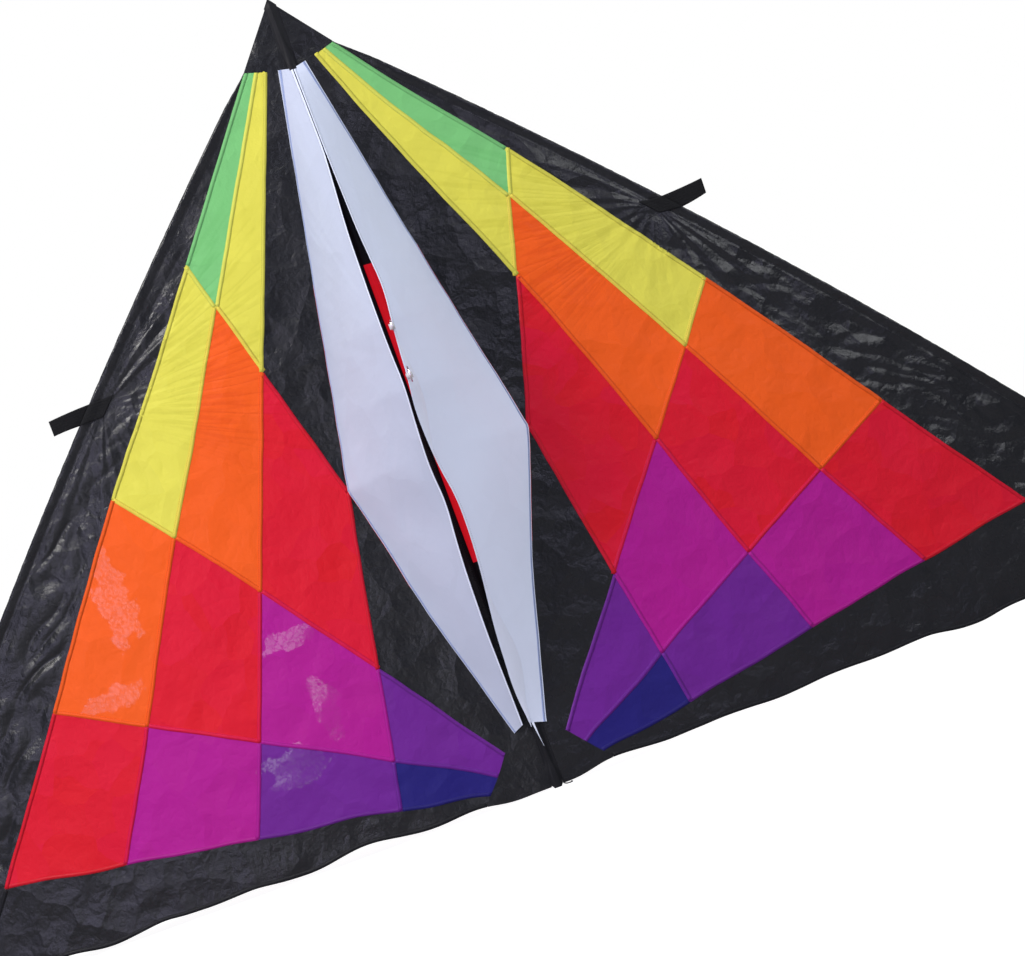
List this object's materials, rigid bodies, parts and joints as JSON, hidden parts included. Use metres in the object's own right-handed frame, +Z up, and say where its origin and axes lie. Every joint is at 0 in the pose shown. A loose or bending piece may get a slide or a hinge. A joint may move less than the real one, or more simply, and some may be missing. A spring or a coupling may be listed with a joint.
{
  "type": "delta kite",
  "caption": "Delta kite with a rainbow patchwork sail, a hollow white double keel, tow rings, folding wings and a cross spreader that hooks behind the leading edges.",
  "frame": {"origin": "centre of the flat foot of the spine end cap, on the floor", "axes": "+X across the span, to the right seen from the keel side; +Y back, away from the keel; +Z up along the spine to the nose"},
  "size_m": [3.254, 0.716, 1.766],
  "materials": {
    "black_cloth": "glossy coated ripstop",
    "white_cloth": "glossy coated ripstop",
    "green_cloth": "glossy coated ripstop",
    "yellow_cloth": "glossy coated ripstop",
    "orange_cloth": "glossy coated ripstop",
    "red_cloth": "glossy coated ripstop",
    "magenta_cloth": "glossy coated ripstop",
    "violet_cloth": "glossy coated ripstop",
    "blue_cloth": "glossy coated ripstop",
    "black_webbing": "woven webbing",
    "white_webbing": "woven webbing",
    "cord": "braided cord",
    "rod": "pultruded fibreglass",
    "moulding": "satin vinyl",
    "steel": "polished"
  },
  "bodies": {
    "spine": {"left_keel_panel": "white_cloth", "lower_tow_tab": "white_webbing", "right_keel_panel": "white_cloth", "spine_end_cap": "moulding", "spine_pocket": "black_cloth", "spine_rod": "rod", "tail_cord": "cord", "upper_tow_tab": "white_webbing"},
    "left_wing": {"left_black_keel_side_panel": "black_cloth", "left_black_nose_panel": "black_cloth", "left_blue_panel": "blue_cloth", "left_green_nose_panel": "green_cloth", "left_leading_edge_band": "black_cloth", "left_leading_edge_spar": "rod", "left_magenta_lower_panel": "magenta_cloth", "left_magenta_upper_panel": "magenta_cloth", "left_nose_patch": "black_cloth", "left_orange_edge_panel": "orange_cloth", "left_orange_upper_panel": "orange_cloth", "left_red_centre_panel": "red_cloth", "left_red_edge_panel": "red_cloth", "left_red_middle_panel": "red_cloth", "left_red_upper_panel": "red_cloth", "left_tail_patch": "black_cloth", "left_tip_cap": "moulding", "left_trailing_edge_band": "black_cloth", "left_violet_inner_panel": "violet_cloth", "left_violet_lower_panel": "violet_cloth", "left_yellow_edge_panel": "yellow_cloth", "left_yellow_nose_panel": "yellow_cloth"},
    "right_wing": {"right_black_keel_side_panel": "black_cloth", "right_black_nose_panel": "black_cloth", "right_blue_panel": "blue_cloth", "right_green_nose_panel": "green_cloth", "right_leading_edge_band": "black_cloth", "right_leading_edge_spar": "rod", "right_magenta_lower_panel": "magenta_cloth", "right_magenta_upper_panel": "magenta_cloth", "right_nose_patch": "black_cloth", "right_orange_edge_panel": "orange_cloth", "right_orange_upper_panel": "orange_cloth", "right_red_centre_panel": "red_cloth", "right_red_edge_panel": "red_cloth", "right_red_middle_panel": "red_cloth", "right_red_upper_panel": "red_cloth", "right_tail_patch": "black_cloth", "right_tip_cap": "moulding", "right_trailing_edge_band": "black_cloth", "right_violet_inner_panel": "violet_cloth", "right_violet_lower_panel": "violet_cloth", "right_yellow_edge_panel": "yellow_cloth", "right_yellow_nose_panel": "yellow_cloth"},
    "spreader": {"left_spreader_hook": "moulding", "right_spreader_hook": "moulding", "spreader_rod": "rod"},
    "left_strap": {"left_strap": "black_webbing"},
    "right_strap": {"right_strap": "black_webbing"},
    "upper_tow_ring": {"upper_tow_ring": "steel"},
    "lower_tow_ring": {"lower_tow_ring": "steel"}
  },
  "joints": [
    {"name": "left_wing_fold", "type": "hinge", "parent": "spine", "child": "left_wing", "pos_m": [-0.015, 0, 0.8], "axis": [0, 0, 1], "range_deg": [0, 92], "deforming": ["left_keel_panel"]},
    {"name": "right_wing_fold", "type": "hinge", "parent": "spine", "child": "right_wing", "pos_m": [0.015, 0, 0.8], "axis": [0, 0, -1], "range_deg": [0, 92], "deforming": ["right_keel_panel"]},
    {"name": "spreader_swing", "type": "hinge", "parent": "right_wing", "child": "spreader", "pos_m": [0.6609, 0.10631, 1.083], "axis": [0.6876, 0.1576, -0.7088], "range_deg": [0, 40]},
    {"name": "left_strap_flap", "type": "hinge", "parent": "left_wing", "child": "left_strap", "pos_m": [-0.6609, 0.10631, 1.083], "axis": [0.6876, -0.1576, 0.7088], "range_deg": [-10, 60], "stiffness_Nm_per_rad": 0.03},
    {"name": "right_strap_flap", "type": "hinge", "parent": "right_wing", "child": "right_strap", "pos_m": [0.6609, 0.10631, 1.083], "axis": [0.6876, 0.1576, -0.7088], "range_deg": [-10, 60], "stiffness_Nm_per_rad": 0.03},
    {"name": "upper_ring_swing", "type": "hinge", "parent": "spine", "child": "upper_tow_ring", "pos_m": [0, -0.25702, 0.993], "axis": [0, 0, 1], "range_deg": [-75, 75]},
    {"name": "lower_ring_swing", "type": "hinge", "parent": "spine", "child": "lower_tow_ring", "pos_m": [0, -0.25763, 0.888], "axis": [0, 0, 1], "range_deg": [-75, 75]}
  ]
}
